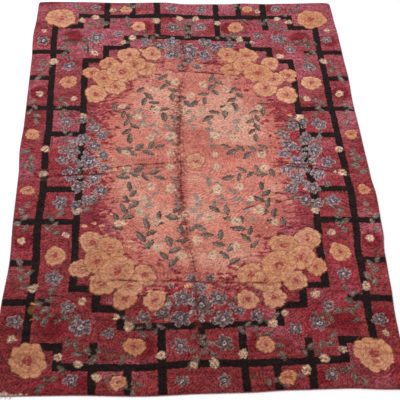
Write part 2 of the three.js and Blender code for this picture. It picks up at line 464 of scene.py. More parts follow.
def knot_bloom(pile, spot, rng):
    """A gold bloom: three rings of scalloped petals round a red heart, carved free of its ground, with
    painted shade in the groove.
    """
    window, angle, reach, dx, dy = around(pile, spot, 1.35, rng)
    rim = spot.radius * uneven(angle, rng, 0.12)
    count = int(rng.integers(7, 11))
    warmth = rng.uniform(0, 1)
    body = mix(GOLD, PALE_GOLD, warmth * np.ones_like(reach))
    spread = noise(dx, dy, 26, 17, int(rng.integers(NOISE_SEEDS)))
    body = mix(body, OCHRE, 0.6 * smooth(0.45, 0.8, spread))
    outer = rim * (0.91 + 0.09 * lobes(angle, count) ** 0.7)
    shaded_groove = (reach >= outer) & (reach < outer + OUTLINE)
    # Painted shade: the carved groove round the bloom is knotted darker, as if in shadow.
    pile.knot(window, shaded_groove, RUST, 0.55)
    pile.carve(window, shaded_groove, 2.6 * MM)
    pile.shag[window] = np.where(reach < outer, BLOOM_SHAG, pile.shag[window])
    for ring, size in enumerate(BLOOM_RINGS):
        twist = ring * TURN / (2 * count) + 3 * reach / spot.radius * rng.uniform(-0.1, 0.1)
        petal = lobes(angle + twist, count - 2 * ring)
        edge = rim * size * (0.89 + 0.11 * petal ** 0.7)
        depth = reach / edge
        inside = reach < edge
        shade = mix(body, PALE_GOLD, 0.5 * smooth(0.6, 0.9, depth) * petal)
        shade = mix(shade, OCHRE, 0.45 * (1 - smooth(0.55, 0.8, depth)))
        pile.knot(window, inside, shade)
        broken = noise(dx, dy, 20, 14, seed=3 + ring) > 0.3
        pile.knot(window, inside & broken & (reach > edge - PETAL_LINE), BRICK, 0.4)
        gap = inside & (petal < 0.14) & (depth > 0.7)
        pile.knot(window, gap, RUST, 0.35)
    fleck = noise(dx, dy, 11, 8, int(rng.integers(NOISE_SEEDS)))
    pile.knot(window, (reach < 0.50 * rim) & (fleck > 0.5), ROSE, 0.35)
    pile.knot(window, (reach < 0.24 * rim) & (fleck > 0.3), BRICK, 0.8)
    pile.knot(window, (reach < 0.62 * rim) & (fleck > 0.8), BRICK, 0.45)


def knot_blue_flower(pile, spot, rng):
    """A slate-blue flower of five round petals with a pale outline and a pale eye."""
    window, angle, reach, *_ = around(pile, spot, 1.5, rng)
    petal = lobes(angle, 5)
    rim = 0.88 * spot.radius * uneven(angle, rng, 0.14) * (0.48 + 0.52 * petal ** 0.6)
    age = rng.uniform(0, 1)
    outline = (reach >= rim) & (reach < rim + OUTLINE)
    pile.knot(window, outline, mix(PALE_LEAF, PALE_LILAC, rng.uniform(0, 0.6)), 0.8)
    pile.carve(window, outline, 1.2 * MM)
    inside = reach < rim
    paler = smooth(0.3, 0.95, reach / rim) * rng.uniform(0.1, 0.8)
    pile.knot(window, inside, mix(mix(SLATE, LEAF, 0.7 * age), LILAC, paler))
    vein = inside & (petal > 0.98) & (reach > 0.3 * spot.radius)
    pile.knot(window, vein, PLUM, 0.7)
    pile.knot(window, reach < 0.36 * spot.radius, PLUM, 0.7)
    pile.knot(window, reach < 0.26 * spot.radius, PALE_LILAC, 0.8)
    pile.knot(window, reach < 0.12 * spot.radius, PLUM, 0.8)


def knot_bud(pile, spot, rng):
    """A bud of three lobes, grey-blue or grey-green, with a pale outline."""
    window, angle, reach, *_ = around(pile, spot, 1.6, rng)
    rim = spot.radius * uneven(angle, rng, 0.2) * (0.6 + 0.4 * lobes(angle, 3))
    pile.knot(window, reach < rim + 4 * MM, mix(PALE_LEAF, PALE_LILAC, rng.uniform(0, 1)), 0.7)
    pile.knot(window, reach < rim, (SLATE, LILAC, LEAF, PLUM)[rng.integers(4)], 0.85)
    pile.knot(window, reach < 0.35 * rim, PALE_LILAC, 0.6)


def scatter_buds(pile, rng):
    for patch in BUD_PATCHES:
        for side, end in quarters(patch):
            for _ in range(patch.buds):
                x = side * patch.x + np.clip(rng.normal(0, 0.6), -1.2, 1.2) * patch.spread_x
                y = end * patch.y + np.clip(rng.normal(0, 0.7), -1.4, 1.4) * patch.spread_y
                knot_bud(pile, Spot(x * MM, y * MM, rng.uniform(11, 20) * MM), rng)


def knot_cream_flower(pile, spot, rng):
    """A small soft cream blossom of six petals."""
    window, angle, reach, *_ = around(pile, spot, 1.4, rng)
    rim = spot.radius * uneven(angle, rng, 0.15) * (0.85 + 0.15 * lobes(angle, 6))
    tone = mix(CREAM, SAGE, rng.uniform(0, 0.7) * np.ones_like(reach))
    pile.knot(window, reach < rim, tone, 0.65)
    pile.knot(window, reach < 0.75 * rim, mix(tone, CREAM, 0.5), 0.75)
    pile.knot(window, (reach < 0.3 * rim) & (lobes(angle, 5) > 0.4), OLIVE, 0.55)


def leaf_window(pile, place, length, heading):
    """The window of knots round a leaf: each one's place across it and its half width there, or -1."""
    window, dx, dy = pile.near(*place, 1.2 * length)
    along = dx * math.cos(heading) + dy * math.sin(heading)
    across = dy * math.cos(heading) - dx * math.sin(heading)
    share = np.clip(along / length, 0, 1)
    half = 0.22 * length * np.sin(math.pi * share ** 0.85) ** 0.7
    on_leaf = (along > 0) & (along < length)
    return window, across, np.where(on_leaf, half, -1.0)


def knot_leaf(pile, place, length, heading, faded, rng):
    """A pointed leaf with a dark edge and rib and a paler blade."""
    window, across, half = leaf_window(pile, place, length, heading)
    lit = across > 0.5 * MM
    across = np.abs(across)
    inside = across < half
    blade = mix(LEAF, (PALE_LEAF, OLIVE, OLIVE, SLATE)[rng.integers(4)], rng.uniform(0.0, 0.5))
    pile.knot(window, (half > 0) & (across < half + 0.6 * OUTLINE), PALE_LEAF, 0.35)
    strength = 1 - 0.35 * faded
    pile.knot(window, inside, mix(DARK_LEAF, PALE_LEAF, faded), strength)
    pile.knot(window, across < half - 0.8 * OUTLINE, mix(blade, PALE_LILAC, 0.5 * faded), strength)
    pile.knot(window, lit & (across < half - 0.7 * OUTLINE), mix(PALE_LEAF, PALE_LILAC, 0.4), 0.35)
    pile.knot(window, inside & (across < LEAF_RIB), DARK_LEAF, 0.6 * (1 - faded))


def scatter_shadow_leaves(pile, rng):
    """Leaves close to the ground's own tone, which make the border look deep."""
    for _ in range(SHADOW_LEAVES):
        place = rng.uniform(-0.97, 0.97) * HALF_WIDTH, rng.uniform(-0.97, 0.97) * HALF_LENGTH
        length, heading = rng.uniform(35, 75) * MM, rng.uniform(0, TURN)
        colour = (PLUM, OLIVE, DEEP_CRIMSON, ROSE, LEAF)[rng.integers(5)]
        if from_medallion(*place) < 1.1:
            continue
        window, across, half = leaf_window(pile, place, length, heading)
        across = np.abs(across)
        pile.knot(window, across < half, colour, rng.uniform(0.3, 0.6))
        pile.knot(window, (half > 0) & (np.abs(across - half) < 0.5 * OUTLINE), PLUM, 0.25)


def knot_stem(pile, path, faded):
    for place in path:
        window, dx, dy = pile.near(*place, 8 * MM)
        pile.knot(window, np.hypot(dx, dy) < STEM_RADIUS, mix(DARK_LEAF, PALE_LEAF, faded), 0.5)


def along_stem(start, run, bend, share):
    """Places at shares of the way along a bent stem."""
    sideways = np.array([-run[1], run[0]]) * bend
    return start + run * share + sideways * np.sin(math.pi * share)


def knot_sprig(pile, sprig, rng):
    """A bent stem with leaves on alternate sides and one at its tip, in each quarter."""
    for side, end in quarters(sprig):
        start = np.array([side * sprig.x, end * sprig.y]) * MM + rng.normal(0, 6 * MM, 2)
        run = np.array([side * sprig.to_x, end * sprig.to_y]) * MM - start
        bend = sprig.bend * side * end
        shares = np.linspace(0, 1, STEM_POINTS)[:, None]
        knot_stem(pile, along_stem(start, run, bend, shares), sprig.faded)
        for number in range(sprig.leaves):
            share = (number + 1) / sprig.leaves
            heading = math.atan2(run[1], run[0])
            heading += math.atan(bend * math.pi * math.cos(math.pi * share))
            if number + 1 < sprig.leaves:
                heading += rng.uniform(0.55, 0.95) * (1 if number % 2 else -1)
            place = along_stem(start, run, bend, share)
            length = sprig.leaf * MM * rng.uniform(0.8, 1.1)
            knot_leaf(pile, place, length, heading, sprig.faded, rng)


def knot_ground(pile):
    """Crimson wool whose dye changes from row to row and patch to patch, with round deep patches."""
    patches = pile.cloudy(260, seed=21)
    bands = pile.noise(700, 26, seed=25)
    colour = mix(DEEP_CRIMSON, CRIMSON, smooth(0.15, 0.5, 0.6 * patches + 0.4 * bands))
    colour = mix(colour, ROSE, 0.8 * smooth(0.5, 0.8, pile.cloudy(210, seed=31)))
    colour = mix(colour, BRICK, 0.7 * smooth(0.55, 0.8, pile.cloudy(180, seed=41)))
    colour = mix(colour, DEEP_CRIMSON, 0.4 * smooth(0.6, 0.85, pile.noise(90, 22, seed=45)))
    rosier = smooth(0.2, 1.2, pile.y) * smooth(0.2, 0.6, pile.noise(150, 60, seed=47))
    pile.colour[:] = mix(colour, ROSE, 0.55 * rosier)
    for spot in copies(DEEP_PATCHES):
        window, dx, dy = pile.near(spot.x, spot.y, 1.3 * spot.radius)
        depth = 1 - smooth(0.7, 1.15, np.hypot(dx, dy) / spot.radius)
        pile.knot(window, depth > 0, DEEP_RED, 0.95 * depth)


# The salmon middle is between an ellipse and a rectangle: a power of 2 would make an ellipse.
MEDALLION_HALF_WIDTH = 530 * MM
MEDALLION_HALF_LENGTH = 880 * MM
MEDALLION_POWER = 2.4


def from_medallion(x, y):
    """1 on the medallion's edge, less inside it and more outside."""
    across = (np.abs(x) / MEDALLION_HALF_WIDTH) ** MEDALLION_POWER
    along = (np.abs(y) / MEDALLION_HALF_LENGTH) ** MEDALLION_POWER
    return (across + along) ** (1 / MEDALLION_POWER)


def knot_medallion(pile):
    """The salmon middle, with an edge that breaks up into flecks."""
    out = from_medallion(pile.x, pile.y)
    ragged = 0.16 * (pile.cloudy(90, seed=51) - 0.5)
    flecks = 0.30 * (pile.noise(24, 10, seed=55) - 0.5)
    inside = out + ragged + flecks < 1
    colour = mix(SALMON, PALE_SALMON, smooth(0.35, 0.7, pile.cloudy(170, seed=61)))
    colour = mix(colour, CORAL, 0.8 * smooth(0.45, 0.75, pile.cloudy(140, seed=71)))
    colour = mix(colour, CORAL, 0.7 * smooth(0.72, 1.0, out))
    pile.colour[inside] = colour[inside]
    pile.shag[inside] = MEDALLION_SHAG


Fleck = namedtuple("Fleck", "colour share")
FLECKS = [Fleck(CORAL, 0.3), Fleck(PALE_GOLD, 0.15), Fleck(DEEP_CRIMSON, 0.25), Fleck(BRICK, 0.3)]
FLECK_COUNT = 620


def scatter_flecks(pile, rng):
    """Small flecks of salmon, gold and crimson over the medallion's edge."""
    shares = [fleck.share for fleck in FLECKS]
    for _ in range(FLECK_COUNT):
        angle = rng.uniform(0, TURN)
        out = rng.uniform(0.86, 1.30)
        x = MEDALLION_HALF_WIDTH * out * math.cos(angle)
        y = MEDALLION_HALF_LENGTH * out * math.sin(angle)
        radius = rng.uniform(5, 12) * MM
        window, dx, dy = pile.near(x, y, 2.4 * radius)
        where = np.hypot(dx / rng.uniform(1.0, 2.0), dy) < radius
        colour = FLECKS[rng.choice(len(FLECKS), p=shares)].colour
        pile.knot(window, where, colour, 0.8)


def knot_design(pile):
    """The whole design, from the ground up."""
    rng = np.random.default_rng(7)
    knot_ground(pile)
    knot_medallion(pile)
    scatter_flecks(pile, rng)
    scatter_shadow_leaves(pile, rng)
    knot_bars(pile)
    for sprig in SPRIGS:
        knot_sprig(pile, sprig, rng)
    scatter_buds(pile, rng)
    for spot in by_hand(CREAM_FLOWERS, rng):
        knot_cream_flower(pile, spot, rng)
    for spot in by_hand(BLUE_FLOWERS, rng):
        knot_blue_flower(pile, spot, rng)
    for spot in by_hand(BLOOMS, rng):
        knot_bloom(pile, spot, rng)


# Wear, stains, and painted shade and highlights

# Lines that the old folds left. Offset is from the fold's crest, width is that of the dark line, and
# the column after dark is how wide the speckled stain and painted shade beside it is. Dark and light
# are shares: the dark line is painted shade where the pile parts, and light is a painted highlight
# beside the fold.
Mark = namedtuple("Mark", "crease start end offset width dark stain light")
MARKS = [
    Mark(LENGTHWISE, -1250, 740, 0, 4, 0.65, 34, 0.0),
    Mark(LENGTHWISE, -700, 740, -16, 3, 0.3, 60, 0.0),
    Mark(LENGTHWISE, 700, 1110, 0, 18, 0.5, 50, 0.0),
    Mark(UPPER, -190, 370, 0, 5, 0.8, 14, 0.5),
    Mark(MIDDLE, -960, -430, 24, 5, 0.85, 12, 0.0),
    Mark(MIDDLE, -960, -430, -28, 5, 0.85, 12, 0.6),
    Mark(MIDDLE, -560, 0, 2, 5, 0.9, 18, 0.6),
    Mark(MIDDLE, -500, -60, -26, 3, 0.5, 0, 0.3),
    Mark(MIDDLE, 400, 980, 10, 4, 0.8, 12, 0.0),
    Mark(MIDDLE, 400, 980, -12, 4, 0.8, 14, 0.6),
    Mark(LOWER, -520, 470, 0, 4, 0.8, 14, 0.4),
    Mark(LOWER, -330, 60, 52, 3, 0.5, 0, 0.3),
]
# Wrinkles are all marked alike. They have their own paths.
WRINKLE_MARK = Mark(None, 0, 0, 0, 4, 0.8, 10, 0.7)
PARTING_DEPTH = 3 * MM


def mark_crease(pile, distance, left, mark, seed):
    """A crease: a carved parting in painted shade, speckled stain and painted shade beside it, a
    painted highlight on its near side.
    """
    distance = distance + (pile.noise(26, 26, seed) - 0.5) * 6 * MM
    broken = 0.2 + 0.8 * smooth(0.25, 0.6, pile.noise(32, 32, seed + 1))
    speckled = smooth(0.4, 0.65, pile.noise(13, 9, seed + 2))
    half = mark.width * MM / 2
    parted = left * broken * mark.dark * (1 - smooth(half, half + 5 * MM, np.abs(distance)))
    # Beside the crease, a speckled stain and painted shade.
    if mark.stain:
        speckled_stain_and_shade = left * speckled * (1 - smooth(0, mark.stain * MM, np.abs(distance)))
        pile.colour[:] = mix(pile.colour, pile.colour * 0.25 + 0.5 * CREASE_RED, speckled_stain_and_shade)
    # A painted highlight on the near side of the fold, where light falls on it.
    beside = smooth(-36 * MM, -20 * MM, distance) * (1 - smooth(-14 * MM, -5 * MM, distance))
    painted_highlight = left * mark.light * beside
    pile.colour[:] = mix(pile.colour, pile.colour * 1.1 + 0.07, 0.6 * painted_highlight)
    # The dark line is painted shade in the parted pile, which is also carved lower.
    pile.colour[:] = mix(pile.colour, CREASE_RED * 0.6, parted)
    pile.clip += PARTING_DEPTH * parted


# Each crease and wrinkle gets its parting, stains, painted shade and painted highlight.
def crease_stains_and_shade(pile):
    for number, mark in enumerate(MARKS):
        distance, left = from_crest(mark, pile.x, pile.y)
        mark_crease(pile, distance - mark.offset * MM, left, mark, 200 + 5 * number)
    for number, wrinkle in enumerate(WRINKLES):
        distance, left = from_wrinkle(wrinkle, pile.x, pile.y)
        mark_crease(pile, -distance, left, WRINKLE_MARK, 300 + 5 * number)


# Each stain is an oval that reaches so far along x and y.
Stain = namedtuple("Stain", "x y reach_x reach_y colour strength")
STAINS = [
    Stain(-845, -955, 20, 7, STAIN_YELLOW, 0.8),
    Stain(-850, -990, 18, 30, OCHRE, 0.35),
    Stain(-845, -1045, 13, 5, STAIN_YELLOW, 0.35),
    Stain(802, -83, 8, 7, COTTON, 0.95),
    Stain(760, -84, 36, 4, CREASE_RED * 0.5, 0.8),
]


def stain(pile):
    for spot in STAINS:
        x, y, reach_x, reach_y = np.array(spot[:4]) * MM
        window, dx, dy = pile.near(x, y, 1.4 * max(reach_x, reach_y))
        strength = spot.strength * (1 - smooth(0.7, 1.1, np.hypot(dx / reach_x, dy / reach_y)))
        pile.knot(window, strength > 0, spot.colour, strength)


WORN_LENGTH = 170 * MM
WORN_DEPTH = 22 * MM


def wear_corner(pile):
    """By the near left corner the pile is worn off down to the cotton."""
    x, y = pile.x, pile.y
    along = 1 - (x + HALF_WIDTH) / WORN_LENGTH
    ragged = WORN_DEPTH * (along + 0.9 * (pile.noise(16, 16, seed=130) - 0.5))
    worn = (along > 0) & (y + HALF_LENGTH < ragged)
    streaks = pile.noise(4, 20, seed=133)
    bare = mix(COTTON * 0.75, ROSE, smooth(0.35, 0.75, streaks))
    pile.colour[worn] = bare[worn]
    pile.clip[worn] = THICKNESS


# What the colours are multiplied by at each end, painted shade at the near end and painted sheen at
# the far one, how much paler the right side is than the middle, and the least that is left of a colour
# in the painted shade between tufts.
NEAR_END_SHADE = np.array([0.79, 0.70, 0.67])
FAR_END_SHEEN = np.array([1.05, 1.03, 1.05])
PALER_ACROSS = 0.12
DARKEST_TUFT = 0.25
RING_SPACING = 15 * MM


def combed_rings(pile):
    """Light and dark rows of tufts that curve round the blooms and the dark patches, from 1 to -1."""
    x, y = pile.x, pile.y
    nearest = np.full(x.shape, HALF_LENGTH)
    for spot in copies(BLOOMS + DEEP_PATCHES):
        nearest = np.minimum(nearest, np.hypot(x - spot.x, y - spot.y))
    nearest = nearest + 60 * MM * pile.noise(120, 80, seed=98)
    broken = smooth(0.15, 0.65, pile.noise(60, 30, seed=99))
    return broken * np.cos(TURN * nearest / RING_SPACING)


def wear_and_painted_shade(pile):
    """Uneven tufts and rows with painted shade where low, faded places, and painted shade on the near
    end.
    """
    x, y = pile.x, pile.y
    tufts = pile.noise(9, 5.5, seed=90)
    rows = pile.noise(120, 10, seed=91)
    seams = 1 - smooth(0.0, 0.10, np.abs(pile.noise(60, 15, seed=92) - 0.5))
    knots = np.random.default_rng(93).normal(0, 1, x.shape)
    faded = pile.cloudy(320, seed=94)
    rings = combed_rings(pile)
    # Tone that differs at random, with painted shade where tufts, rows and seams sit low.
    light = 0.75 * (tufts - 0.5) + 0.20 * (rows - 0.5) - 0.12 * seams + 0.24 * knots + 0.22 * rings
    light = np.maximum(0.94 + pile.shag * light, DARKEST_TUFT)
    light *= 0.89 + 0.22 * faded
    light *= 1 + PALER_ACROSS * x / HALF_WIDTH
    # Painted sheen lightens the far end and painted shade darkens the near end; the gold and cream
    # wool changes least.
    kept = np.maximum(smooth(-1.35, -0.30, y), 0.32 * smooth(0.18, 0.24, pile.colour[..., 1]))
    pile.colour *= light[..., None]
    pile.colour *= mix(NEAR_END_SHADE, FAR_END_SHEEN, kept)
    low = 1.1 * (1 - tufts) + 0.5 * (1 - rows) + 0.6 * seams - 0.3 * rings
    pile.clip += MM * (pile.shag * low + 0.8 * pile.cloudy(120, seed=97))


# Meshes

def ring_of(rows, columns):
    """The places round the rim of a grid, anticlockwise from its first corner."""
    last_row, last_column = rows - 1, columns - 1
    ring = [(0, column) for column in range(last_column)]
    ring += [(row, last_column) for row in range(last_row)]
    ring += [(last_row, column) for column in range(last_column, 0, -1)]
    ring += [(row, 0) for row in range(last_row, 0, -1)]
    return ring


def add_object(name, data):
    thing = bpy.data.objects.new(name, data)
    bpy.context.scene.collection.objects.link(thing)
    return thing


def fine_then_kept(fine, coarse, kept):
    """Values at every place of the fine side, and then at the places that the coarse side keeps."""
    return np.concatenate([fine.reshape(-1, 3), np.array([coarse[place] for place in kept])])


# In a slab's index of its coarse side, a place that has no point.
UNUSED = -1


def slab(name, fine, coarse, fine_on_top, step):
    """A closed slab: its fine side has a whole grid, its other side the rim and one line in step."""
    rows, columns = fine.shape[:2]
    ring = ring_of(rows, columns)
    inner_rows, inner_columns = range(step, rows - 1, step), range(step, columns - 1, step)
    kept = ring + [(row, column) for row in inner_rows for column in inner_columns]
    fine_index = np.arange(rows * columns).reshape(rows, columns)
    coarse_index = np.full((rows, columns), UNUSED)
    for number, place in enumerate(kept):
        coarse_index[place] = rows * columns + number

    corner = fine_index[:-1, :-1].ravel()
    faces = np.stack([corner, corner + 1, corner + columns + 1, corner + columns], axis=1).tolist()
    fine_faces = len(faces)
    for here, there in zip(ring, ring[1:] + ring[:1]):
        faces.append([coarse_index[here], coarse_index[there], fine_index[there], fine_index[here]])
    cell_ring = ring_of(step + 1, step + 1)
    for row in range(0, rows - 1, step):
        for column in range(0, columns - 1, step):
            cell = [coarse_index[row + up, column + along] for up, along in reversed(cell_ring)]
            faces.append([point for point in cell if point != UNUSED])
    if not fine_on_top:
        faces = [face[::-1] for face in faces]

    mesh = bpy.data.meshes.new(name)
    mesh.from_pydata(fine_then_kept(fine, coarse, kept).tolist(), [], faces)
    # Only the fine side is shaded smooth, so that no seam shows where two slabs meet.
    mesh.polygons.foreach_set("use_smooth", np.arange(len(faces)) < fine_faces)
    return add_object(name, mesh), fine_faces, kept


def colour_knots(piece, colour, kept):
    """Stores the colour at each point of a slab."""
    points = fine_then_kept(colour, colour, kept)
    rgba = np.concatenate([np.clip(points, 0, 1), np.ones((len(points), 1))], axis=1)
    layer = piece.data.color_attributes.new("knot_colour", "FLOAT_COLOR", "POINT")
    layer.data.foreach_set("color", rgba.ravel())


def loop_points(piece):
    """The point that each corner of each face is at."""
    points = np.empty(len(piece.data.loops), dtype=np.int64)
    piece.data.loops.foreach_get("vertex_index", points)
    return points


# Parts of the layout square: the margin beside each band, and where the fine and hidden faces are.
UV_MARGIN = 0.01
UV_FINE_FROM, UV_FINE_HEIGHT = 0.005, 0.97
UV_HIDDEN_FROM, UV_HIDDEN_HEIGHT = 0.985, 0.01


def lay_out_uv(piece, rows, columns, fine_faces, bands):
    """Lays the fine side out in bands side by side, and all that is hidden along the top."""
    loops = loop_points(piece)
    fine_loops = 4 * fine_faces
    band_rows = (rows - 1) // bands
    face_row = np.arange(fine_faces) // (columns - 1)
    band = np.repeat(np.minimum(face_row // band_rows, bands - 1), 4)
    row, column = np.divmod(loops[:fine_loops], columns)
    u = (band + UV_MARGIN + (1 - 2 * UV_MARGIN) * column / (columns - 1)) / bands
    v = UV_FINE_FROM + UV_FINE_HEIGHT * (row - band * band_rows) / band_rows
    hidden = np.arange(len(loops) - fine_loops)
    uv = np.empty((len(loops), 2))
    uv[:fine_loops] = np.stack([u, v], axis=1)
    uv[fine_loops:, 0] = np.linspace(UV_MARGIN, 1 - UV_MARGIN, len(hidden))
    uv[fine_loops:, 1] = UV_HIDDEN_FROM + UV_HIDDEN_HEIGHT * (hidden % 3) / 3
    layer = piece.data.uv_layers.new(name="OFBake")
    layer.data.foreach_set("uv", uv.ravel())


def grid_normals(points):
    """The normal at each point of a grid, from its neighbours along the rows and columns."""
    normals = np.cross(np.gradient(points, axis=1), np.gradient(points, axis=0))
    return normals / np.linalg.norm(normals, axis=-1, keepdims=True)


def carry_normals_over(piece, normals, fine_faces):
    """Gives the first and last columns the normals of the whole pile, so that no seam shows there."""
    columns = normals.shape[1]
    loops = loop_points(piece)
    fine_loops = loops[:4 * fine_faces]
    at_side = np.isin(fine_loops % columns, (0, columns - 1))
    custom = np.zeros((len(loops), 3))
    custom[:4 * fine_faces][at_side] = normals.reshape(-1, 3)[fine_loops[at_side]]
    piece.data.normals_split_custom_set(custom.tolist())


def drawn_in(x, y, side, end):
    """Points of the plain rectangle, drawn in from its sides and its ends."""
    return x * (1 - side / HALF_WIDTH), y * (1 - end / HALF_LENGTH)


def pile_surface(pile):
    """Each knot's tip, on the lifted cloth, rolled down at the rim and clipped, and its root."""
    flat_x, flat_y = drawn_in(pile.x, pile.y, SIDE_CORD_WIDTH, END_WEAVE_WIDTH)
    x, y = place_on_cloth(flat_x, flat_y)
    raised = lift(flat_x, flat_y)
    inside = np.minimum(HALF_WIDTH - np.abs(pile.x), HALF_LENGTH - np.abs(pile.y))
    roll = np.sqrt(1 - (1 - np.clip(inside / RIM_ROLL, 0, 1)) ** 2)
    height = RIM_THICKNESS + (THICKNESS - RIM_THICKNESS) * roll - pile.clip * (0.3 + 0.7 * roll)
    height = np.maximum(height, BARE_HEIGHT)
    astray = np.random.default_rng(101).normal(0, 1, x.shape + (3,)) * ASTRAY
    tips = np.stack([x, y, raised + height], axis=-1) + astray
    roots = np.stack([x, y, raised + PILE_ROOT], axis=-1)
    return tips, roots


def make_pile(pile):
    """The pile, in strips that run along the rug."""
    tips, roots = pile_surface(pile)
    normals = grid_normals(tips)
    pieces = []
    for strip in range(STRIPS):
        first = strip * COLUMNS_PER_STRIP
        columns = slice(first, first + COLUMNS_PER_STRIP + 1)
        name = f"pile_{strip + 1}"
        piece, fine_faces, kept = slab(name, tips[:, columns], roots[:, columns], True, PILE_STEP)
        colour_knots(piece, pile.colour[:, columns], kept)
        lay_out_uv(piece, KNOT_ROWS + 1, COLUMNS_PER_STRIP + 1, fine_faces, 3)
        carry_normals_over(piece, normals[:, columns], fine_faces)
        pieces.append(piece)
    return pieces


def foundation_lines(half, count):
    """Where the foundation's grid lines are, closer together at both ends."""
    inner = half - CORNER_RADIUS
    between = np.linspace(-inner, inner, count + 1 - 2 * len(RIM_LINES))
    return np.concatenate([RIM_LINES - half, between, half - RIM_LINES[::-1]])


def make_foundation(pile):
    """The woven cloth that the knots sit in. Its underside shows the knots' colours, duller."""
    drawn_x, drawn_y = np.meshgrid(
        foundation_lines(HALF_WIDTH, FOUNDATION_COLUMNS),
        foundation_lines(HALF_LENGTH, FOUNDATION_ROWS),
    )
    flat_x, flat_y = drawn_in(drawn_x, drawn_y, SIDE_CORD_RADIUS, END_CORD_RADIUS)
    x, y = place_on_cloth(flat_x, flat_y)
    raised = lift(flat_x, flat_y)
    under = np.stack([x, y, raised], axis=-1)
    over = np.stack([x, y, raised + FOUNDATION_THICKNESS], axis=-1)
    piece, fine_faces, kept = slab("foundation", under, over, False, FOUNDATION_STEP)
    rows = np.searchsorted(pile.line_y, drawn_y).clip(0, KNOT_ROWS)
    columns = np.searchsorted(pile.line_x, drawn_x).clip(0, KNOT_COLUMNS)
    colour_knots(piece, mix(pile.colour[rows, columns], 0.6 * COTTON, 0.3), kept)
    lay_out_uv(piece, FOUNDATION_ROWS + 1, FOUNDATION_COLUMNS + 1, fine_faces, 1)
    return piece


def tube(path, radii):
    """Points and faces of a closed tube along a path, with a radius at each of its points."""
    ahead = np.gradient(path, axis=0)
    ahead /= np.linalg.norm(ahead, axis=1)[:, None]
    beside = np.cross(ahead, [0, 0, 1])
    beside /= np.linalg.norm(beside, axis=1)[:, None]
    above = np.cross(beside, ahead)
    angle = np.arange(TUBE_SIDES)[:, None] * TURN / TUBE_SIDES
    out = np.cos(angle) * beside[:, None] + np.sin(angle) * above[:, None]
    rings = path[:, None] + radii[:, None, None] * out
    faces = []
    for first in range(0, (len(path) - 1) * TUBE_SIDES, TUBE_SIDES):
        for side in range(TUBE_SIDES):
            near, next_side = first + side, first + (side + 1) % TUBE_SIDES
            faces.append([near, next_side, next_side + TUBE_SIDES, near + TUBE_SIDES])
    last = (len(path) - 1) * TUBE_SIDES
    faces.append(list(range(TUBE_SIDES))[::-1])
    faces.append(list(range(last, last + TUBE_SIDES)))
    return rings.reshape(-1, 3), faces


def join_tubes(name, tubes):
    """One piece of several tubes."""
    points, faces, offset = [], [], 0
    for tube_points, tube_faces in tubes:
        points.append(tube_points)
        faces += [[index + offset for index in face] for face in tube_faces]
        offset += len(tube_points)
    mesh = bpy.data.meshes.new(name)
    mesh.from_pydata(np.concatenate(points).tolist(), [], faces)
    mesh.shade_smooth()
    return add_object(name, mesh)


Edge = namedtuple("Edge", "name runs side radius seed")
EDGES = [
    Edge("side_cord_left", "y", -1, SIDE_CORD_RADIUS, 111),
    Edge("side_cord_right", "y", 1, SIDE_CORD_RADIUS, 111),
    Edge("end_cord_near", "x", -1, END_CORD_RADIUS, 113),
    Edge("end_cord_far", "x", 1, END_CORD_RADIUS, 113),
]


def make_cord(edge):
    """Yarn wrapped over and over round one edge of the cloth."""
    halves = (HALF_WIDTH, HALF_LENGTH) if edge.runs == "x" else (HALF_LENGTH, HALF_WIDTH)
    reach = halves[0] - SIDE_CORD_RADIUS
    along = np.linspace(-reach, reach, int(POINTS_PER_WRAP * 2 * reach / WRAP_LENGTH))
    across = np.full(len(along), edge.side * (halves[1] - edge.radius))
    x, y = place_on_cloth(*((along, across) if edge.runs == "x" else (across, along)))
    bulge = 0.82 + 0.18 * np.abs(np.sin(math.pi * along / WRAP_LENGTH))
    wander = np.random.default_rng(edge.seed).normal(0, 0.15 * MM, (len(along), 2))
    height = np.full(len(along), edge.radius + 0.3 * MM)
    path = np.stack([x + wander[:, 0], y + wander[:, 1], height], axis=1)
    return join_tubes(edge.name, [tube(path, edge.radius * bulge)])


FRAYED_ENDS = 34
FRAYED_REACH = 100 * MM


def make_frayed_ends(name):
    """Loose ends of cotton warp and wool at the worn near left corner."""
    rng = np.random.default_rng(121)
    tubes = []
    for _ in range(FRAYED_ENDS):
        start_x = -HALF_WIDTH + 8 * MM + FRAYED_REACH * rng.uniform(0, 1) ** 1.5
        x, y = place_on_cloth(np.array([start_x]), np.array([-HALF_LENGTH + 6 * MM]))
        length = rng.uniform(9, 24) * MM
        share = np.linspace(0, 1, 9)
        lean = rng.normal(-0.15, 0.55)
        curl = rng.normal(0, 7) * MM
        wave = rng.uniform(0.5, 1.5) * MM * np.sin(rng.uniform(3, 7) * share + rng.uniform(0, TURN))
        path = np.stack([
            x[0] + lean * length * share + curl * share ** 2 + wave * share,
            y[0] - length * share + 0.3 * np.abs(curl) * share ** 3,
            (3.4 - 2.5 * share ** 0.5) * MM + rng.uniform(0, 1.2) * MM * share,
        ], axis=1)
        tubes.append(tube(path, rng.uniform(0.5, 0.85) * MM * (1 - 0.4 * share)))
    return join_tubes(name, tubes)


# Materials

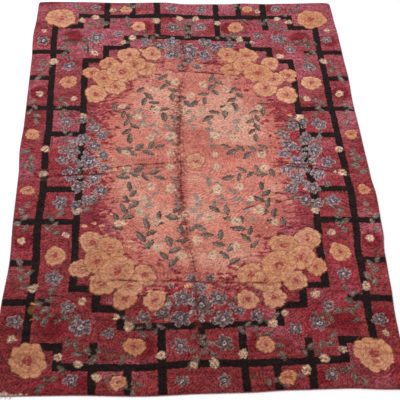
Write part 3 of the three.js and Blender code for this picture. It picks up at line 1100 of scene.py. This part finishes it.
class Shading:
    """A new material, with short ways to add nodes to it."""

    def __init__(self, name):
        self.material = bpy.data.materials.new(name)
        self.material.use_nodes = True
        self.tree = self.material.node_tree

    def fill(self, node, inputs):
        """Links the inputs that are given the output of a node, and sets the others."""
        for name, value in inputs.items():
            if isinstance(value, bpy.types.NodeSocket):
                self.tree.links.new(value, node.inputs[name])
            else:
                node.inputs[name].default_value = value

    def add(self, kind, output, inputs, **settings):
        """Adds a node and gives the named output of it."""
        node = self.tree.nodes.new("ShaderNode" + kind)
        for name, value in settings.items():
            setattr(node, name, value)
        self.fill(node, inputs)
        return node.outputs[output]

    def place(self):
        return self.add("TexCoord", "Object", {})

    def knot_colour(self):
        return self.add("Attribute", "Color", {}, attribute_name="knot_colour")

    def noise(self, scale, stretch=(1, 1, 1), detail=3.0):
        """A noise over the cloth itself, stretched along its axes."""
        place = self.add("Mapping", "Vector", {"Vector": self.place(), "Scale": stretch})
        return self.add("TexNoise", "Fac", {"Vector": place, "Scale": scale, "Detail": detail})

    def ranged(self, noise, low, high):
        """Takes the middle half of a noise's range to low and high."""
        limits = {"From Min": 0.25, "From Max": 0.75, "To Min": low, "To Max": high}
        return self.add("MapRange", "Result", {"Value": noise, **limits})

    def times(self, colour, factor):
        """A colour times a number, by scaling it as a vector."""
        inputs = {"Vector": colour, "Scale": factor}
        return self.add("VectorMath", "Vector", inputs, operation="SCALE")

    def bump(self, height, strength, distance, **after):
        inputs = {"Height": height, "Strength": strength, "Distance": distance}
        return self.add("Bump", "Normal", {**inputs, **after})

    def finish(self, inputs):
        """Fills the shader's inputs and gives the material."""
        self.fill(self.tree.nodes["Principled BSDF"], inputs)
        return self.material


def wool_material():
    """Worn wool pile: each knot's dye, broken by fibres and rows, with a soft sheen."""
    wool = Shading("wool_pile")
    fibres = wool.noise(620, detail=4.0)
    rows = wool.noise(1, stretch=(14, 240, 1), detail=2.0)
    colour = wool.times(wool.knot_colour(), wool.ranged(fibres, 0.84, 1.14))
    tufts = wool.add("TexVoronoi", "Distance", {"Vector": wool.place(), "Scale": 270})
    tufted = wool.bump(tufts, 0.6, 1.2 * MM)
    return wool.finish({
        "Base Color": wool.times(colour, wool.ranged(rows, 0.93, 1.07)),
        "Roughness": wool.ranged(fibres, 0.8, 0.98),
        "Specular IOR Level": 0.08,
        "Sheen Weight": 0.05,
        "Sheen Roughness": 0.5,
        "Sheen Tint": (1.0, 0.86, 0.80, 1.0),
        "Normal": wool.bump(fibres, 0.5, 1.0 * MM, Normal=tufted),
    })


def weave_material():
    """The woven back: warps and wefts over the duller colours of the knots."""
    weave = Shading("woven_back")
    fibres = weave.noise(500)
    woven = {}
    for direction in ("X", "Y"):
        inputs = {"Vector": weave.place(), "Scale": 42, "Distortion": 0.6}
        threads = weave.add("TexWave", "Fac", inputs, bands_direction=direction)
        woven = {"Normal": weave.bump(threads, 0.5, 0.8 * MM, **woven)}
    return weave.finish({
        "Base Color": weave.times(weave.knot_colour(), weave.ranged(fibres, 0.8, 1.1)),
        "Roughness": 0.9,
        "Specular IOR Level": 0.2,
        **woven,
    })


def yarn_material(name, dark, light, sheen):
    """Plain yarn whose tone changes along it."""
    yarn = Shading(name)
    tone = yarn.add("ValToRGB", "Color", {"Fac": yarn.noise(60, stretch=(1, 2, 1))})
    for stop, position, colour in zip(tone.node.color_ramp.elements, (0.3, 0.7), (dark, light)):
        stop.position = position
        stop.color = (*colour, 1)
    return yarn.finish({
        "Base Color": tone,
        "Roughness": 0.9,
        "Specular IOR Level": 0.2,
        "Sheen Weight": sheen,
        "Normal": yarn.bump(yarn.noise(900), 0.4, 0.5 * MM),
    })


def floor_material():
    return Shading("pale_floor").finish({
        "Base Color": (0.93, 0.93, 0.93, 1),
        "Roughness": 0.9,
        "Specular IOR Level": 0.1,
    })


# Stage

# The camera was fitted to the rug's outline in the photo: place in metres, turn in degrees, lens in
# millimetres.
CAMERA_PLACE = (-0.278, -3.291, 3.748)
CAMERA_TURN = (38.86, -2.58, -2.34)
CAMERA_LENS = 77.53
CAMERA_SENSOR = 36

FLOOR_HALF = 80
# The floor is a hair below the rug, so that the two never share a plane.
FLOOR_HEIGHT = -0.2 * MM
WORLD_STRENGTH = 0.70


def make_camera():
    data = bpy.data.cameras.new("camera")
    data.sensor_width = CAMERA_SENSOR
    data.lens = CAMERA_LENS
    camera = add_object("camera", data)
    camera.location = CAMERA_PLACE
    camera.rotation_euler = [math.radians(turn) for turn in CAMERA_TURN]
    bpy.context.scene.camera = camera


def make_floor():
    corners = [(-1, -1), (1, -1), (1, 1), (-1, 1)]
    mesh = bpy.data.meshes.new("floor")
    points = [(FLOOR_HALF * x, FLOOR_HALF * y, FLOOR_HEIGHT) for x, y in corners]
    mesh.from_pydata(points, [], [(0, 1, 2, 3)])
    mesh.materials.append(floor_material())
    floor = add_object("floor", mesh)


def make_light(name, place, size, power):
    """A soft light that faces the middle of the rug."""
    data = bpy.data.lights.new(name, "AREA")
    data.size = size
    data.energy = power
    light = add_object(name, data)
    light.location = place
    light.rotation_mode = "QUATERNION"
    light.rotation_quaternion = Vector(place).to_track_quat("Z", "Y")


def make_world():
    world = bpy.data.worlds.new("studio")
    world.use_nodes = True
    background = world.node_tree.nodes["Background"]
    background.inputs["Color"].default_value = (1, 1, 1, 1)
    background.inputs["Strength"].default_value = WORLD_STRENGTH
    bpy.context.scene.world = world
    bpy.context.scene.view_settings.view_transform = "Standard"


def make_stage():
    make_camera()
    make_floor()
    make_world()
    make_light("key", (-3.0, 2.5, 4.5), size=2.0, power=200)
    make_light("fill", (3.0, -3.0, 4.0), size=3.0, power=40)


# The rug

def dress(piece, material):
    piece.data.materials.append(material)
    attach(piece, "root")


def make_rug():
    pile = Pile()
    knot_design(pile)
    crease_stains_and_shade(pile)
    stain(pile)
    wear_and_painted_shade(pile)
    wear_corner(pile)
    foundation = make_foundation(pile)
    dress(foundation, weave_material())
    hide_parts("rug")
    wool = wool_material()
    pieces = make_pile(pile)
    for piece in pieces:
        dress(piece, wool)
    edge_yarn = yarn_material("edge_yarn", DEEP_CRIMSON, ROSE, 0.2)
    cords = [make_cord(edge) for edge in EDGES]
    for cord in cords:
        dress(cord, edge_yarn)
    pieces += cords
    frayed = make_frayed_ends("frayed_ends")
    dress(frayed, yarn_material("cotton_warp", COTTON * 0.7, COTTON, 0.0))
    pieces.append(frayed)


make_stage()
make_rug()
